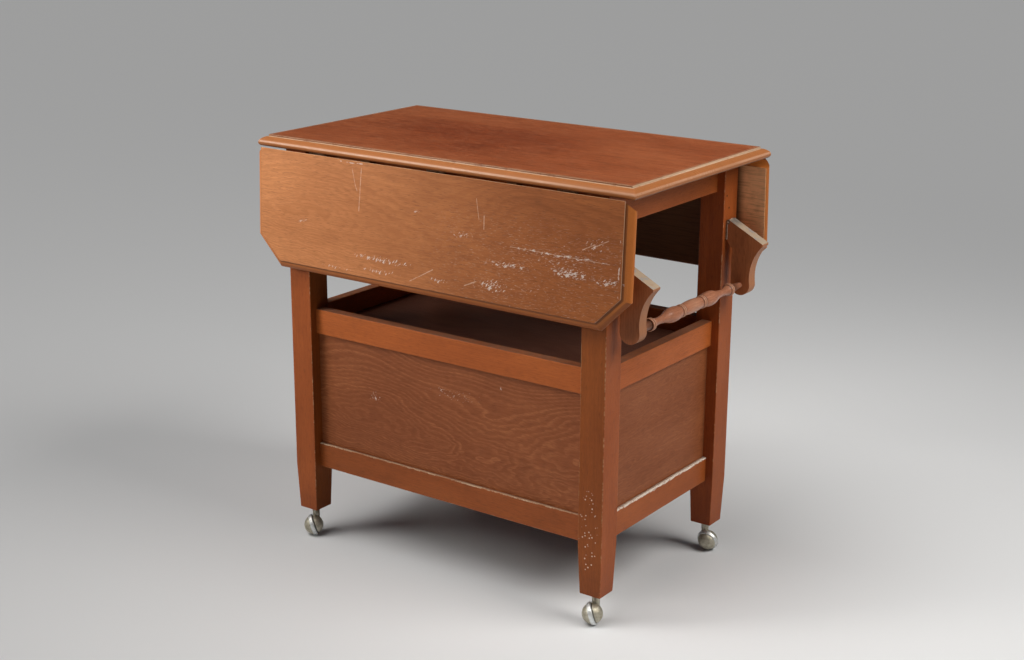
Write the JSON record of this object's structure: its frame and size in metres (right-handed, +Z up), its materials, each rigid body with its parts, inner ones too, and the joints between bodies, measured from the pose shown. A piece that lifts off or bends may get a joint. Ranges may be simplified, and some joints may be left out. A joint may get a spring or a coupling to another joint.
{
  "type": "drop leaf tea trolley",
  "caption": "Oblong wooden tea trolley with hanging drop leaves, a gallery tray over a panelled box, a turned folding push handle and swivelling ball casters.",
  "frame": {"origin": "on the floor under the middle of the whole object", "axes": "+X along the length, towards the push handle; +Y towards the back leaf; +Z up"},
  "size_m": [0.784, 0.4682, 0.74],
  "materials": {
    "oak_top": "worn varnish, reddish brown",
    "oak_leaf": "worn varnish, scuffed",
    "oak_frame": "varnish, straight grain",
    "oak_panel": "thin varnish, broad grain",
    "oak_handle": "varnish, rubbed pale",
    "oak_inner": "raw, dulled",
    "hinge_steel": "dull, darkened",
    "caster_metal": "worn plating",
    "caster_socket_steel": "dull"
  },
  "bodies": {
    "frame": {"leg_front_left": "oak_frame", "leg_front_right": "oak_frame", "leg_back_left": "oak_frame", "leg_back_right": "oak_frame", "apron_front": "oak_frame", "apron_back": "oak_frame", "apron_left": "oak_frame", "apron_right": "oak_frame", "tray_rail_front": "oak_frame", "tray_rail_back": "oak_frame", "tray_rail_left": "oak_frame", "tray_rail_right": "oak_frame", "base_rail_front": "oak_frame", "base_rail_back": "oak_frame", "base_rail_left": "oak_frame", "base_rail_right": "oak_frame", "panel_front": "oak_panel", "panel_back": "oak_panel", "panel_left": "oak_panel", "panel_right": "oak_panel", "tray_shelf": "oak_panel", "base_board": "oak_panel", "glue_blocks": "oak_inner", "top_board": "oak_top", "bearer_rail": "oak_inner", "bearer_front_left": "oak_inner", "bearer_front_right": "oak_inner", "bearer_back_left": "oak_inner", "bearer_back_right": "oak_inner", "hinge_top_flaps_front": "hinge_steel", "hinge_top_flaps_back": "hinge_steel", "hinge_pins_front": "hinge_steel", "hinge_pins_back": "hinge_steel", "handle_hinge_leg_flaps": "hinge_steel", "handle_hinge_pins": "hinge_steel", "caster_sockets": "caster_socket_steel"},
    "leaf_front": {"leaf_front": "oak_leaf", "hinge_leaf_flaps_front": "hinge_steel"},
    "leaf_back": {"leaf_back": "oak_leaf", "hinge_leaf_flaps_back": "hinge_steel"},
    "handle": {"handle_bracket_front": "oak_handle", "handle_bracket_back": "oak_handle", "handle_rail": "oak_handle", "handle_hinge_bracket_flaps": "hinge_steel"},
    "caster_front_left": {"caster_hood_front_left": "caster_metal", "caster_axle_front_left": "caster_metal"},
    "wheel_front_left": {"caster_wheel_front_left": "caster_metal"},
    "caster_front_right": {"caster_hood_front_right": "caster_metal", "caster_axle_front_right": "caster_metal"},
    "wheel_front_right": {"caster_wheel_front_right": "caster_metal"},
    "caster_back_left": {"caster_hood_back_left": "caster_metal", "caster_axle_back_left": "caster_metal"},
    "wheel_back_left": {"caster_wheel_back_left": "caster_metal"},
    "caster_back_right": {"caster_hood_back_right": "caster_metal", "caster_axle_back_right": "caster_metal"},
    "wheel_back_right": {"caster_wheel_back_right": "caster_metal"}
  },
  "joints": [
    {"name": "leaf_front_hinge", "type": "hinge", "parent": "frame", "child": "leaf_front", "pos_m": [-0.009, -0.20521, 0.7195], "axis": [-1, 0, 0], "range_deg": [0, 87.5]},
    {"name": "leaf_back_hinge", "type": "hinge", "parent": "frame", "child": "leaf_back", "pos_m": [-0.009, 0.20521, 0.7195], "axis": [1, 0, 0], "range_deg": [0, 87.5]},
    {"name": "handle_hinge", "type": "hinge", "parent": "frame", "child": "handle", "pos_m": [0.3252, 0, 0.6124], "axis": [0, -1, 0], "range_deg": [0, 117]},
    {"name": "caster_front_left_swivel", "type": "hinge", "parent": "frame", "child": "caster_front_left", "pos_m": [-0.316, -0.1825, 0.0535], "axis": [0, 0, 1], "continuous": true},
    {"name": "wheel_front_left_spin", "type": "hinge", "parent": "caster_front_left", "child": "wheel_front_left", "pos_m": [-0.3136, -0.19257, 0.01923], "axis": [0.6994, 0.6522, 0.2924], "continuous": true},
    {"name": "caster_front_right_swivel", "type": "hinge", "parent": "frame", "child": "caster_front_right", "pos_m": [0.298, -0.1825, 0.0535], "axis": [0, 0, 1], "continuous": true},
    {"name": "wheel_front_right_spin", "type": "hinge", "parent": "caster_front_right", "child": "wheel_front_right", "pos_m": [0.29825, -0.19285, 0.01923], "axis": [0.8197, 0.4925, 0.2924], "continuous": true},
    {"name": "caster_back_left_swivel", "type": "hinge", "parent": "frame", "child": "caster_back_left", "pos_m": [-0.316, 0.1825, 0.0535], "axis": [0, 0, 1], "continuous": true},
    {"name": "wheel_back_left_spin", "type": "hinge", "parent": "caster_back_left", "child": "wheel_back_left", "pos_m": [-0.30629, 0.18611, 0.01923], "axis": [-0.7326, 0.6147, 0.2924], "continuous": true},
    {"name": "caster_back_right_swivel", "type": "hinge", "parent": "frame", "child": "caster_back_right", "pos_m": [0.298, 0.1825, 0.0535], "axis": [0, 0, 1], "continuous": true},
    {"name": "wheel_back_right_spin", "type": "hinge", "parent": "caster_back_right", "child": "wheel_back_right", "pos_m": [0.30717, 0.1777, 0.01923], "axis": [-0.0334, 0.9557, 0.2924], "continuous": true}
  ]
}
